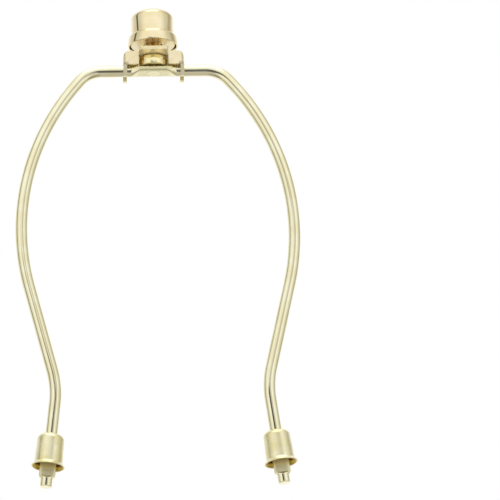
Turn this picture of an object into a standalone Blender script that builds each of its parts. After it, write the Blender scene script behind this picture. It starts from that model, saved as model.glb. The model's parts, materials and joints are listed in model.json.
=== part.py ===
"""Lamp harp of plated wire, with a folded shade rest, a swivelling stud, a finial and two locking sleeves.

Units are metres and +Z is up. The origin lies midway between the tips of the two legs, the wire loop stands
in the XZ plane, and the stud's axis is the Z axis.
"""

import math

import bmesh
import bpy
from mathutils import Vector

# Clearance between pieces that touch on the real object
GAP = 0.0003

# Harp wire: the loop's outline, all on the wire's centre line
WIRE_D = 0.0045
HARP_HEIGHT = 0.164
BELLY_HALF_WIDTH = 0.05105
SHOULDER_RADIUS = 0.0115
SHOULDER_TURN = math.radians(50)
UPPER_STRAIGHT = 0.002
LOWER_STRAIGHT = 0.0337
NECK_RADIUS = 0.0362
FOOT_HALF_SPREAD = 0.0439
FOOT_SPLAY = math.radians(7)
LEG_STRAIGHT = 0.0327

# Harp wire: the pressed places
TOP_FLAT_HALF_LENGTH = 0.0048
TOP_FLAT_RUNOUT = 0.004
TOP_FLAT_THICKNESS = 0.002
TOP_FLAT_WIDTH = 0.0072
STUB_LENGTH = 0.0031
PADDLE_RUNOUT = 0.0012
PADDLE_LENGTH = 0.0166
PADDLE_WIDTH = 0.006
PADDLE_THICKNESS = 0.0029
TIP_CHAMFER = 0.0003
ROUND_POWER = 2
PRESSED_POWER = 4.5

# Top bracket, with heights above the wire's centre line
SHEET = 0.0014
BRACKET_WIDTH = 0.023
BRACKET_DEPTH = 0.0088
WEB_TOP = 0.0067
WEB_BEND = 0.0022
LEG_BELOW_WIRE = 0.00295
FLANGE_LOW = 0.0012
FLANGE_SLIT = 0.0002
FLANGE_TOP_DROP = 0.0001
FLANGE_BEND = 0.002
FLANGE_INSET = 0.00006
FLANGE_ROOT = 0.0009
SEAT_WIDTH = 0.011
SEAT_SLIT = 0.0001
SEAT_DEPTH = 0.0184
SEAT_CORNER = 0.0012
RELIEF_WIDTH = 0.0012
RELIEF_DEPTH = 0.0008

# Threaded stud
THREAD_D = 0.00635
BARREL_D = 0.0108
BARREL_CHAMFER = 0.0005
TAIL_D = 0.0034
RIVET_HEAD_D = 0.0052
STUD_ABOVE_WEB = 0.0112
STUD_CHAMFER = 0.0006

# Finial
FINIAL_ABOVE_WEB = 0.003
FINIAL_HEIGHT = 0.015
FINIAL_BODY_D = 0.016
FINIAL_FOOT_D = 0.0189
FINIAL_WALL = 0.0006
FINIAL_DOME = 0.004
FINIAL_TOP_FILLET = 0.0022
FINIAL_FOOT_HEIGHT = 0.0034
FINIAL_FOOT_FLARE = 0.0003
FINIAL_COVE_HEIGHT = 0.0012
INSERT_RECESS = 0.0005
INSERT_FLANGE = 0.0012
INSERT_HUB_D = 0.0112
INSERT_HEIGHT = 0.005

# Locking sleeves
SLEEVE_LENGTH = 0.0125
SLEEVE_BODY_D = 0.0104
SLEEVE_TOP_D = 0.0099
SLEEVE_RIM_D = 0.0124
SLEEVE_RIM_FLARE = 0.0018
SLEEVE_SHOULDER = 0.0021
SLEEVE_WALL = 0.0005
SLEEVE_PLAY = 0.0002

# Facets
WIRE_SIDES = 16
WIRE_BEND_STEP = math.radians(5)
RUNOUT_STEPS = 4
TURNED_STEPS = 48
HOLE_STEPS = 32
FILLET_STEPS = 5
NOTCH_STEPS = 10
SMOOTH_BELOW = math.radians(35)
MERGE = 0.00001

BRASS_PLATE = (0.83, 0.68, 0.33)
BARE_BRASS = (0.78, 0.56, 0.22)
PLATE_ROUGHNESS = 0.12
BARE_ROUGHNESS = 0.2

WEB_UNDERSIDE = WEB_TOP - SHEET


def clear_scene():
    for old in list(bpy.data.objects):
        bpy.data.objects.remove(old)


def new_collection(name):
    made = bpy.data.collections.new(name)
    bpy.context.scene.collection.children.link(made)
    return made


def metal(name, colour, roughness):
    made = bpy.data.materials.new(name)
    made.use_nodes = True
    shader = made.node_tree.nodes["Principled BSDF"]
    shader.inputs["Base Color"].default_value = (*colour, 1)
    shader.inputs["Metallic"].default_value = 1
    shader.inputs["Roughness"].default_value = roughness
    return made


def object_of(name, form, collection, material=None):
    """An object in the collection that takes over the bmesh, shaded smooth with its folds sharp."""
    mesh = bpy.data.meshes.new(name)
    bmesh.ops.recalc_face_normals(form, faces=form.faces)
    form.to_mesh(mesh)
    form.free()
    mesh.shade_smooth()
    mesh.set_sharp_from_angle(angle=SMOOTH_BELOW)
    if material:
        mesh.materials.append(material)
    made = bpy.data.objects.new(name, mesh)
    collection.objects.link(made)
    return made


def helper(name, form, helpers):
    """A shape that only cuts or is joined, so it never shows by itself."""
    made = object_of(name, form, helpers)
    made.hide_render = True
    made.display_type = "WIRE"
    return made


def boolean(target, other, operation):
    step = target.modifiers.new(f"{operation.lower()} {other.name}", "BOOLEAN")
    step.object = other
    step.operation = operation
    step.solver = "EXACT"


def arc(centre, radius, start, end, steps=FILLET_STEPS):
    """Points along a circle, the angles in degrees from the first axis to the second."""
    points = []
    for step in range(steps + 1):
        angle = math.radians(start + (end - start) * step / steps)
        points.append((centre[0] + radius * math.cos(angle), centre[1] + radius * math.sin(angle)))
    return points


def box_form(low, high):
    form = bmesh.new()
    bmesh.ops.create_cube(form, size=1)
    for vert in form.verts:
        vert.co = Vector([high[i] if vert.co[i] > 0 else low[i] for i in range(3)])
    return form


def cone_form(low_radius, high_radius, low, high):
    """A cone or cylinder round the Z axis."""
    form = bmesh.new()
    sizes = {"radius1": low_radius, "radius2": high_radius, "depth": high - low}
    made = bmesh.ops.create_cone(form, cap_ends=True, segments=HOLE_STEPS, **sizes)
    bmesh.ops.translate(form, verts=made["verts"], vec=(0, 0, (low + high) / 2))
    return form


def prism_form(outline, low, high, place):
    """A closed outline drawn out from low to high, where place puts an outline point at a distance."""
    form = bmesh.new()
    base = [form.verts.new(place(point, low)) for point in outline]
    face = form.faces.new(base)
    grown = bmesh.ops.extrude_face_region(form, geom=[face])
    for item in grown["geom"]:
        if isinstance(item, bmesh.types.BMVert):
            item.co += place(outline[0], high) - place(outline[0], low)
    return form


def turned(name, outline, collection, material):
    """A Screw turns the outline, a list of (radius, height) that runs down the outer side."""
    form = bmesh.new()
    verts = [form.verts.new((radius, 0, height)) for radius, height in outline]
    for first, second in zip(verts, verts[1:]):
        form.edges.new((first, second))
    if outline[0][0] > 0:
        form.edges.new((verts[-1], verts[0]))
    mesh = bpy.data.meshes.new(name)
    form.to_mesh(mesh)
    form.free()
    mesh.materials.append(material)
    made = bpy.data.objects.new(name, mesh)
    collection.objects.link(made)
    screw = made.modifiers.new("turn", "SCREW")
    screw.steps = TURNED_STEPS
    screw.render_steps = TURNED_STEPS
    screw.use_merge_vertices = True
    screw.merge_threshold = MERGE
    screw.use_smooth_shade = True
    return made


def straight(length):
    return {"length": length, "turn": 0}


def bend(radius, turn):
    return {"length": radius * abs(turn), "turn": turn}


def loop_legs():
    """The right half of the wire's centre line, from the top middle to the tip, as straights and bends.

    The belly and the neck are two circles, and the lower straight is their crossing tangent. The belly's
    radius is the one that fits between the widest point, the shoulder and that straight, so a change of
    height, width or spread makes the belly rounder or flatter.
    """
    belly_rise = math.pi / 2 - SHOULDER_TURN
    shoulder_height = (
        HARP_HEIGHT
        - SHOULDER_RADIUS * (1 - math.cos(SHOULDER_TURN))
        - UPPER_STRAIGHT * math.sin(SHOULDER_TURN)
    )
    inwards = Vector((math.cos(FOOT_SPLAY), math.sin(FOOT_SPLAY)))
    up_the_leg = Vector((-math.sin(FOOT_SPLAY), math.cos(FOOT_SPLAY)))
    neck = Vector((FOOT_HALF_SPREAD, 0)) + LEG_STRAIGHT * up_the_leg + NECK_RADIUS * inwards
    belly_radius = belly_radius_for(neck, shoulder_height, belly_rise)
    belly = Vector((BELLY_HALF_WIDTH - belly_radius, shoulder_height - belly_radius * math.sin(belly_rise)))
    top_straight = (
        BELLY_HALF_WIDTH
        - belly_radius * (1 - math.cos(belly_rise))
        - UPPER_STRAIGHT * math.cos(SHOULDER_TURN)
        - SHOULDER_RADIUS * math.sin(SHOULDER_TURN)
    )
    between = neck - belly
    lean = math.atan2(-between.y, between.x) - math.atan2(LOWER_STRAIGHT, belly_radius + NECK_RADIUS)
    return [
        straight(top_straight),
        bend(SHOULDER_RADIUS, -SHOULDER_TURN),
        straight(UPPER_STRAIGHT),
        bend(belly_radius, -belly_rise),
        bend(belly_radius, -lean),
        straight(LOWER_STRAIGHT),
        bend(NECK_RADIUS, lean + FOOT_SPLAY),
        straight(LEG_STRAIGHT),
    ]


def belly_radius_for(neck, shoulder_height, belly_rise):
    """The belly radius at which the tangent from the belly to the neck is as long as the lower straight.

    The distance between the two centres squared is the sum of the radii squared plus the straight squared,
    which is a quadratic in the belly's radius.
    """
    sideways = neck.x - BELLY_HALF_WIDTH
    upwards = shoulder_height - neck.y
    rise = math.sin(belly_rise)
    squared = rise * rise
    linear = upwards * rise + NECK_RADIUS - sideways
    rest = sideways**2 + upwards**2 - NECK_RADIUS**2 - LOWER_STRAIGHT**2
    return (linear - math.sqrt(linear * linear - squared * rest)) / squared


def along(stretches, distance):
    """Where the centre line is, and which way it heads, at this distance from the top middle."""
    place = Vector((0, HARP_HEIGHT))
    heading = 0
    for stretch in stretches:
        run = min(distance, stretch["length"])
        turned_by = stretch["turn"] * run / stretch["length"]
        middle = heading + turned_by / 2
        half_turn = abs(turned_by) / 2
        chord = run * (math.sin(half_turn) / half_turn if half_turn else 1)
        place += chord * Vector((math.cos(middle), math.sin(middle)))
        heading += turned_by
        distance -= run
        if distance <= 0:
            break
    return place, heading


def wire_stations(stretches):
    """Distances at which the wire gets a section: each stretch's ends, its bends and the pressed places."""
    total = sum(stretch["length"] for stretch in stretches)
    found = {0, total, total - TIP_CHAMFER}
    start = 0
    for stretch in stretches:
        steps = max(1, math.ceil(abs(stretch["turn"]) / WIRE_BEND_STEP))
        found |= {start + stretch["length"] * step / steps for step in range(steps)}
        start += stretch["length"]
    for step in range(RUNOUT_STEPS + 1):
        share = step / RUNOUT_STEPS
        found.add(TOP_FLAT_HALF_LENGTH + TOP_FLAT_RUNOUT * share)
        found.add(total - STUB_LENGTH - PADDLE_RUNOUT * share)
        found.add(total - STUB_LENGTH - PADDLE_LENGTH + PADDLE_RUNOUT * share)
    return sorted(found)


def ramp(value, start, length):
    """0 before the start and 1 past start + length, with soft ends."""
    share = min(max((value - start) / length, 0), 1)
    return share * share * (3 - 2 * share)


def wire_section(distance, total):
    """Half sizes of the section in the loop's plane and across it, and how square it is."""
    top = 1 - ramp(distance, TOP_FLAT_HALF_LENGTH, TOP_FLAT_RUNOUT)
    from_tip = total - distance
    foot = ramp(from_tip, STUB_LENGTH, PADDLE_RUNOUT)
    foot *= 1 - ramp(from_tip, STUB_LENGTH + PADDLE_LENGTH - PADDLE_RUNOUT, PADDLE_RUNOUT)
    in_plane = WIRE_D + (TOP_FLAT_THICKNESS - WIRE_D) * top + (PADDLE_WIDTH - WIRE_D) * foot
    across = WIRE_D + (TOP_FLAT_WIDTH - WIRE_D) * top + (PADDLE_THICKNESS - WIRE_D) * foot
    chamfer = max(TIP_CHAMFER - from_tip, 0)
    power = ROUND_POWER + (PRESSED_POWER - ROUND_POWER) * max(top, foot)
    return in_plane / 2 - chamfer, across / 2 - chamfer, power


def section_ring(form, place, heading, half_in_plane, half_across, power):
    """One ring of the loft: a circle that squares up as the power grows."""
    ring = []
    normal = Vector((-math.sin(heading), 0, math.cos(heading)))
    for side in range(WIRE_SIDES):
        angle = 2 * math.pi * side / WIRE_SIDES
        u = math.cos(angle)
        v = math.sin(angle)
        reach = (abs(u) ** power + abs(v) ** power) ** (-1 / power)
        offset = normal * (u * reach * half_in_plane) + Vector((0, v * reach * half_across, 0))
        ring.append(form.verts.new(Vector((place.x, 0, place.y)) + offset))
    return ring


def make_wire(collection, helpers, material):
    """The loop is a loft from tip to tip: round wire with three pressed places."""
    stretches = loop_legs()
    total = sum(stretch["length"] for stretch in stretches)
    stations = wire_stations(stretches)
    form = bmesh.new()
    rings = []
    for distance in [-s for s in reversed(stations[1:])] + stations:
        place, heading = along(stretches, abs(distance))
        if distance < 0:
            place.x = -place.x
            heading = -heading
        rings.append(section_ring(form, place, heading, *wire_section(abs(distance), total)))
    for first, second in zip(rings, rings[1:]):
        for side in range(WIRE_SIDES):
            after = (side + 1) % WIRE_SIDES
            form.faces.new((first[side], first[after], second[after], second[side]))
    form.faces.new(rings[0])
    form.faces.new(rings[-1])
    wire = object_of("harp_wire", form, collection, material)
    bore = TAIL_D / 2 + GAP
    low = -TOP_FLAT_THICKNESS / 2 - WIRE_D
    wide = RIVET_HEAD_D / 2 + GAP * math.sqrt(2) + WIRE_D
    drills = {
        "tail_hole": cone_form(bore, bore, -WIRE_D, WIRE_D),
        "tail_countersink": cone_form(wide, bore, low, low + wide - bore),
    }
    for name, form in drills.items():
        drill = helper(name, form, helpers)
        drill.location.z = HARP_HEIGHT
        drill.rotation_euler.z = math.pi / HOLE_STEPS
        boolean(wire, drill, "DIFFERENCE")
    return wire


def bracket_outline(inset):
    """Outer side of the folded strip, seen from the front, from the left leg's end to the right one's."""
    half = BRACKET_WIDTH / 2 - inset
    bend_centre = (BRACKET_WIDTH / 2 - WEB_BEND, WEB_TOP - WEB_BEND)
    return (
        [(-half, -LEG_BELOW_WIRE)]
        + arc((-bend_centre[0], bend_centre[1]), WEB_BEND - inset, 180, 90)
        + arc(bend_centre, WEB_BEND - inset, 90, 0)
        + [(half, -LEG_BELOW_WIRE)]
    )


def strip_form(outline, place, low, high):
    """An open folded surface: the outline drawn out between two distances."""
    form = bmesh.new()
    near = [form.verts.new(place(point, low)) for point in outline]
    far = [form.verts.new(place(point, high)) for point in outline]
    for i in range(len(outline) - 1):
        form.faces.new((near[i], near[i + 1], far[i + 1], far[i]))
    return form


def thicken(surface):
    """Gives a folded surface the sheet's thickness, inwards from the side that it draws."""
    step = surface.modifiers.new("sheet", "SOLIDIFY")
    step.thickness = SHEET
    step.offset = -1
    step.use_even_offset = True


def front(point, distance):
    return Vector((point[0], distance, point[1]))


def plan(point, distance):
    return Vector((point[0], point[1], distance))


def corner_room_outline():
    """What the stamping takes off one corner of the wide strip, seen from above.

    It leaves the seat with a round corner, a relief notch where the flange's fold ends, and the web's edge.
    """
    seat_side = SEAT_WIDTH / 2
    seat_end = SEAT_DEPTH / 2
    web_edge = BRACKET_DEPTH / 2 - SHEET - FLANGE_SLIT
    corner = arc((seat_side - SEAT_CORNER, seat_end - SEAT_CORNER), SEAT_CORNER, 0, 90)
    return (
        [(BRACKET_WIDTH, web_edge), (seat_side + RELIEF_WIDTH, web_edge)]
        + [(seat_side + RELIEF_WIDTH, web_edge - RELIEF_DEPTH), (seat_side, web_edge - RELIEF_DEPTH)]
        + corner
        + [(seat_side - SEAT_CORNER, SEAT_DEPTH), (BRACKET_WIDTH, SEAT_DEPTH)]
    )


def flange_path():
    """Outer side of one turned-in flange, seen from above, from its root in the leg to beside the seat."""
    side = BRACKET_WIDTH / 2 - FLANGE_INSET
    front_face = BRACKET_DEPTH / 2
    fold = arc((side - FLANGE_BEND, front_face - FLANGE_BEND), FLANGE_BEND, 0, 90)
    return [(side, FLANGE_ROOT), *fold, (SEAT_WIDTH / 2 + SEAT_SLIT, front_face)]


def make_bracket(collection, helpers, material):
    """A wide strip folded to a U, cut back to the seat and the legs, with a flange folded in at each corner."""
    wide = strip_form(bracket_outline(0), front, -SEAT_DEPTH / 2, SEAT_DEPTH / 2)
    bracket = object_of("top_bracket", wide, collection, material)
    thicken(bracket)

    # The flanges keep a hair inside the strip's outer side, so that no two faces lie in one plane
    trim = prism_form(bracket_outline(FLANGE_INSET / 2), -SEAT_DEPTH, SEAT_DEPTH, front)
    envelope = helper("flange_envelope", trim, helpers)
    leg_edge = BRACKET_DEPTH / 2
    room_top = WEB_TOP + SHEET
    below_web = (FLANGE_LOW + WEB_UNDERSIDE) / 2
    for name, side in (("front", -1), ("back", 1)):
        near, far = sorted((side * leg_edge, side * SEAT_DEPTH))
        low_room = box_form((-BRACKET_WIDTH, near, -2 * LEG_BELOW_WIRE), (BRACKET_WIDTH, far, below_web))
        boolean(bracket, helper(f"{name}_leg_room", low_room, helpers), "DIFFERENCE")
        for hand, way in (("left", -1), ("right", 1)):
            corner = [(way * x, side * y) for x, y in corner_room_outline()]
            room = prism_form(corner, FLANGE_LOW, room_top, plan)
            boolean(bracket, helper(f"{name}_{hand}_corner_room", room, helpers), "DIFFERENCE")
    for name, side in (("front", -1), ("back", 1)):
        for hand, way in (("left", -1), ("right", 1)):
            path = [(way * x, side * y) for x, y in flange_path()]
            form = strip_form(path, plan, FLANGE_LOW + FLANGE_SLIT, WEB_TOP - FLANGE_TOP_DROP)
            flange = helper(f"{name}_{hand}_flange", form, helpers)
            thicken(flange)
            boolean(flange, envelope, "INTERSECT")
            boolean(bracket, flange, "UNION")

    radius = THREAD_D / 2 + GAP
    boolean(bracket, helper("stud_hole", cone_form(radius, radius, 0, room_top), helpers), "DIFFERENCE")

    # Each leg straddles the wire with a notch that is round at its top and open below
    notch_half = WIRE_D / 2 + GAP
    notch = [(-notch_half, -2 * LEG_BELOW_WIRE)] + arc((0, 0), notch_half, 180, 0, NOTCH_STEPS)
    notch += [(notch_half, -2 * LEG_BELOW_WIRE)]
    slot = prism_form(notch, -BRACKET_WIDTH, BRACKET_WIDTH, lambda point, x: Vector((x, point[0], point[1])))
    boolean(bracket, helper("wire_notch", slot, helpers), "DIFFERENCE")

    for piece in [bracket, *helpers.objects]:
        piece.location.z = HARP_HEIGHT
    return bracket


def make_stud(collection, material):
    """Barrel between the wire and the web, shank up through the web, tail riveted flush under the wire."""
    flat = TOP_FLAT_THICKNESS / 2 + GAP
    barrel_top = WEB_UNDERSIDE - GAP
    top = WEB_TOP + STUD_ABOVE_WEB
    head = RIVET_HEAD_D / 2
    outline = [
        (0, top),
        (THREAD_D / 2 - STUD_CHAMFER, top),
        (THREAD_D / 2, top - STUD_CHAMFER),
        (THREAD_D / 2, barrel_top),
        (BARREL_D / 2 - BARREL_CHAMFER, barrel_top),
        (BARREL_D / 2, barrel_top - BARREL_CHAMFER),
        (BARREL_D / 2, flat + BARREL_CHAMFER),
        (BARREL_D / 2 - BARREL_CHAMFER, flat),
        (TAIL_D / 2, flat),
        (TAIL_D / 2, head - TAIL_D / 2 - TOP_FLAT_THICKNESS / 2),
        (head, -TOP_FLAT_THICKNESS / 2),
        (0, -TOP_FLAT_THICKNESS / 2),
    ]
    stud = turned("threaded_stud", outline, collection, material)
    stud.location.z = HARP_HEIGHT
    return stud


def finial_outline(inset):
    """The cap's side from its top centre down to the rim, moved in by inset.

    The crown is a ball's cap, and the fillet that leads it into the side touches both. The crown's radius
    follows from that and from the dome's height above the side.
    """
    body = FINIAL_BODY_D / 2
    foot_top = FINIAL_FOOT_D / 2 - FINIAL_FOOT_FLARE
    fillet = FINIAL_TOP_FILLET
    side_top = FINIAL_HEIGHT - FINIAL_DOME
    reach = body - fillet
    crown = (reach**2 + FINIAL_DOME**2 - fillet**2) / (2 * (FINIAL_DOME - fillet))
    slope = math.degrees(math.asin(reach / (crown - fillet)))
    points = arc((0, FINIAL_HEIGHT - crown), crown - inset, 90, 90 - slope)
    points += arc((reach, side_top), fillet - inset, 90 - slope, 0)[1:]
    cove_top = FINIAL_FOOT_HEIGHT + FINIAL_COVE_HEIGHT - inset / 2
    for step in range(FILLET_STEPS + 1):
        share = step / FILLET_STEPS
        points.append((body + (foot_top - body) * ramp(share, 0, 1) - inset, cove_top - FINIAL_COVE_HEIGHT * share))
    points.append((FINIAL_FOOT_D / 2 - inset, 0))
    return points


def make_finial(collection, shell_material, insert_material):
    """A drawn cap with a threaded ring pressed in from below."""
    outer = finial_outline(0)
    inner = finial_outline(FINIAL_WALL)
    shell = turned("finial_shell", outer + inner[::-1], collection, shell_material)
    bore = THREAD_D / 2 + GAP
    flange = FINIAL_FOOT_D / 2 - FINIAL_FOOT_FLARE / 2 - FINIAL_WALL - GAP
    hub = INSERT_HUB_D / 2
    shoulder = INSERT_RECESS + INSERT_FLANGE
    top = INSERT_RECESS + INSERT_HEIGHT
    outline = [(bore, top), (hub, top), (hub, shoulder)]
    outline += [(flange, shoulder), (flange, INSERT_RECESS), (bore, INSERT_RECESS)]
    insert = turned("finial_insert", outline, collection, insert_material)
    for piece in (shell, insert):
        piece.location.z = HARP_HEIGHT + WEB_TOP + FINIAL_ABOVE_WEB
    return shell, insert


def sleeve_outline():
    """Closed outline of the sleeve's wall: down the outside, round the rim and up the inside."""
    hole = WIRE_D / 2 + SLEEVE_PLAY
    wall = SLEEVE_WALL
    top = SLEEVE_TOP_D / 2
    body = SLEEVE_BODY_D / 2
    rim = SLEEVE_RIM_D / 2
    shoulder_centre = (top - SLEEVE_SHOULDER, SLEEVE_LENGTH - SLEEVE_SHOULDER)
    flare_steps = [step / FILLET_STEPS for step in range(FILLET_STEPS + 1)]
    flare = [(body + (rim - body) * s * s, SLEEVE_RIM_FLARE * (1 - s)) for s in flare_steps]
    outer = [(hole, SLEEVE_LENGTH)] + arc(shoulder_centre, SLEEVE_SHOULDER, 90, 0) + flare
    inside = [(radius - wall, height) for radius, height in flare[::-1]]
    inside += arc(shoulder_centre, SLEEVE_SHOULDER - wall, 0, 90)
    inside.append((hole, SLEEVE_LENGTH - wall))
    return outer + inside


def make_sleeves(collection, material):
    """Both sleeves hang on their legs, each with its top hole resting on the paddle's shoulder."""
    left = turned("left_ferrule", sleeve_outline(), collection, material)
    right = bpy.data.objects.new("right_ferrule", left.data)
    collection.objects.link(right)
    screw = right.modifiers.new("turn", "SCREW")
    for setting in ("steps", "render_steps", "use_merge_vertices", "merge_threshold", "use_smooth_shade"):
        setattr(screw, setting, getattr(left.modifiers["turn"], setting))
    rim = STUB_LENGTH + PADDLE_LENGTH + SLEEVE_WALL - SLEEVE_LENGTH
    for sleeve, way in ((left, -1), (right, 1)):
        lean = FOOT_SPLAY
        sleeve.location = (way * (FOOT_HALF_SPREAD - rim * math.sin(lean)), 0, rim * math.cos(lean))
        sleeve.rotation_euler = (0, -way * lean, 0)
    return left, right


def main():
    clear_scene()
    parts = new_collection("lamp_harp")
    helpers = new_collection("cutters")
    plate = metal("brass plate", BRASS_PLATE, PLATE_ROUGHNESS)
    bare = metal("bare brass", BARE_BRASS, BARE_ROUGHNESS)
    make_wire(parts, helpers, plate)
    make_bracket(parts, helpers, plate)
    make_stud(parts, bare)
    make_finial(parts, plate, bare)
    make_sleeves(parts, plate)


main()
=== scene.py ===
"""The lamp harp's looks: polished brass plate in a white studio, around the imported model.

Units are metres and +Z is up. The origin lies midway between the tips of the two legs, and the stud's
axis is the Z axis. Every piece repeats the sizes of its solid, with smooth bends, rounded edges and a real
thread.
"""

import json
import math

import bmesh
import bpy
from mathutils import Matrix, Vector

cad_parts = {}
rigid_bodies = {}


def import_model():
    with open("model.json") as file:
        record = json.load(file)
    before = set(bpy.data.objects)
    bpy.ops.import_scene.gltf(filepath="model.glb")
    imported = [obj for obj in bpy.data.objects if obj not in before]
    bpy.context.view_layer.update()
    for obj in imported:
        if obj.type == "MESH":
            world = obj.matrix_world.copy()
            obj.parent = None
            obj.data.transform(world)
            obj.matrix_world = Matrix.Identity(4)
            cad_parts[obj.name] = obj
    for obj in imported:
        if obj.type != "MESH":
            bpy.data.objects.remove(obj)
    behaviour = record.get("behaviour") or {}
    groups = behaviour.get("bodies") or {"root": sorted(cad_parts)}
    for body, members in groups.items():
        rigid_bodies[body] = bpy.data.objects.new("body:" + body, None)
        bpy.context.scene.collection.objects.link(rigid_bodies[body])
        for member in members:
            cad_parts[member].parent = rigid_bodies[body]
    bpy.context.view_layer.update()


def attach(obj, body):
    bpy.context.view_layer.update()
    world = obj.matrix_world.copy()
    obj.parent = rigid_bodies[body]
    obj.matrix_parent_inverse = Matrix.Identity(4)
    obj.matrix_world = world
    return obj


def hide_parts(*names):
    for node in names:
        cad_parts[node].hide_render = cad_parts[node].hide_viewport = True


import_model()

# Clearance between pieces that touch on the real object
GAP = 0.0003

# Harp wire: the loop's outline, all on the wire's centre line
WIRE_D = 0.0045
HARP_HEIGHT = 0.164
BELLY_HALF_WIDTH = 0.05105
SHOULDER_RADIUS = 0.0115
SHOULDER_TURN = math.radians(50)
UPPER_STRAIGHT = 0.002
LOWER_STRAIGHT = 0.0337
NECK_RADIUS = 0.0362
FOOT_HALF_SPREAD = 0.0439
FOOT_SPLAY = math.radians(7)
LEG_STRAIGHT = 0.0327

# Harp wire: the pressed places
TOP_FLAT_HALF_LENGTH = 0.0048
TOP_FLAT_RUNOUT = 0.004
TOP_FLAT_THICKNESS = 0.002
TOP_FLAT_WIDTH = 0.0072
STUB_LENGTH = 0.0031
PADDLE_RUNOUT = 0.0012
PADDLE_LENGTH = 0.0166
PADDLE_WIDTH = 0.006
PADDLE_THICKNESS = 0.0029
TIP_ROUND = 0.0004
ROUND_POWER = 2
PRESSED_POWER = 5.5

# Top bracket, with heights above the wire's centre line
SHEET = 0.0014
BRACKET_WIDTH = 0.023
BRACKET_DEPTH = 0.0088
WEB_TOP = 0.0067
WEB_BEND = 0.0022
LEG_BELOW_WIRE = 0.00295
FLANGE_LOW = 0.0012
FLANGE_SLIT = 0.0002
FLANGE_TOP_DROP = 0.0001
FLANGE_BEND = 0.002
FLANGE_INSET = 0.00006
FLANGE_ROOT = 0.0009
SEAT_WIDTH = 0.011
SEAT_SLIT = 0.0001
SEAT_DEPTH = 0.0184
SEAT_CORNER = 0.0012
RELIEF_WIDTH = 0.0012
RELIEF_DEPTH = 0.0008
EDGE_ROUND = 0.00014

# Threaded stud: 27 threads to the inch, faded over a share of the thread's length at each end
THREAD_D = 0.00635
THREAD_PITCH = 0.0254 / 27
THREAD_DEPTH = 0.00052
THREAD_CREST = 0.00012
THREAD_FADE = 0.03
THREAD_TURN = math.radians(-90)
BARREL_D = 0.0108
BARREL_ROUND = 0.0005
TAIL_D = 0.0034
RIVET_HEAD_D = 0.0052
RIVET_SEAM = 0.00006
RIVET_HOLLOW = 0.0001
RIVET_HOLLOW_EDGE = 0.00006
RIVET_HOLLOW_SHARE = 0.6
STUD_ABOVE_WEB = 0.0112
STUD_CHAMFER = 0.0006

# Finial
FINIAL_ABOVE_WEB = 0.003
FINIAL_HEIGHT = 0.015
FINIAL_BODY_D = 0.016
FINIAL_FOOT_D = 0.0189
FINIAL_WALL = 0.0006
FINIAL_DOME = 0.004
FINIAL_TOP_FILLET = 0.0022
FINIAL_FOOT_HEIGHT = 0.0034
FINIAL_FOOT_FLARE = 0.0003
FINIAL_COVE_HEIGHT = 0.0012
INSERT_RECESS = 0.0005
INSERT_FLANGE = 0.0012
INSERT_HUB_D = 0.0112
INSERT_HEIGHT = 0.005
INSERT_CHAMFER = 0.0003

# Locking sleeves
SLEEVE_LENGTH = 0.0125
SLEEVE_BODY_D = 0.0104
SLEEVE_TOP_D = 0.0099
SLEEVE_RIM_D = 0.0124
SLEEVE_RIM_FLARE = 0.0018
SLEEVE_SHOULDER = 0.0021
SLEEVE_WALL = 0.0005
SLEEVE_PLAY = 0.0002

# Smoothness
WIRE_SIDES = 48
WIRE_BEND_STEP = math.radians(2)
RUNOUT_STEPS = 10
TURNED_STEPS = 112
HOLE_STEPS = 64
FILLET_STEPS = 12
NOTCH_STEPS = 24
ROUND_STEPS = 6
LIP_STEPS = 8
EDGE_STEPS = 3
THREAD_STEPS = 72
TIP_ANGLES = (0, 30, 60)
SMOOTH_BELOW = math.radians(38)

# A radius below this lies on the axis, and points that agree to so many digits are one
ON_AXIS = 1e-7
SAME_DIGITS = 7

# The photograph's view: VIEW_AIM shows at AIM_PIXEL, and the scale is the one at its distance
VIEW_AIM = Vector((0, 0, 0.09))
VIEW_BELOW = math.radians(20)
VIEW_YAW = math.radians(2.3)
VIEW_ROLL = math.radians(1.62)
VIEW_DISTANCE = 2.01
PIXELS_PER_METRE = 2679
AIM_PIXEL = (158.74, 255.1)
FRAME_PIXELS = 500
SENSOR = 36
CLIP_NEAR = 0.1
CLIP_FAR = 100

# Names that the meshes and the finishes share: the UV map in metres, and the mark on inner points
SURFACE_MAP = "around_along"
INSIDE_MARK = "inside"

# The finishes' tones
PALE_PLATE = (0.97, 0.93, 0.67)
DEEP_PLATE = (0.93, 0.86, 0.57)
WARM_PLATE = (0.95, 0.84, 0.57)
WARM_DEEP = (0.89, 0.76, 0.46)
PRESSED_PLATE = (0.86, 0.80, 0.50)
# painted light: the paddles' tone inside the sleeves, lighter and warmer to make up for the sleeves' shade
PADDLE_SLEEVE_LIGHT = (1.0, 0.93, 0.52)
# painted light: a warmer tone on the bracket's downward faces, standing in for light bounced between the
# gold parts
UNDERSIDE_BOUNCE_GLOW = (1.0, 0.86, 0.50)
# painted shade on the front of the bracket legs' lower ends, cut edges included
LEG_FRONT_SHADE = (0.58, 0.52, 0.34)
SLEEVE_PLATE = (0.95, 0.89, 0.60)
SLEEVE_DEEP = (0.88, 0.79, 0.44)
TURNED_BRASS = (1.0, 0.91, 0.54)
TURNED_DEEP = (0.94, 0.72, 0.30)
THREAD_BRASS = (0.82, 0.60, 0.27)
THREAD_DEEP = (0.62, 0.42, 0.16)
# painted shade: a darker tone given to the drawn cap's and sleeves' inner walls in place of the shade in
# their hollows
HOLLOW_SHADE = (0.54, 0.37, 0.06)
RIVET_END = (0.86, 0.80, 0.50)

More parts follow.
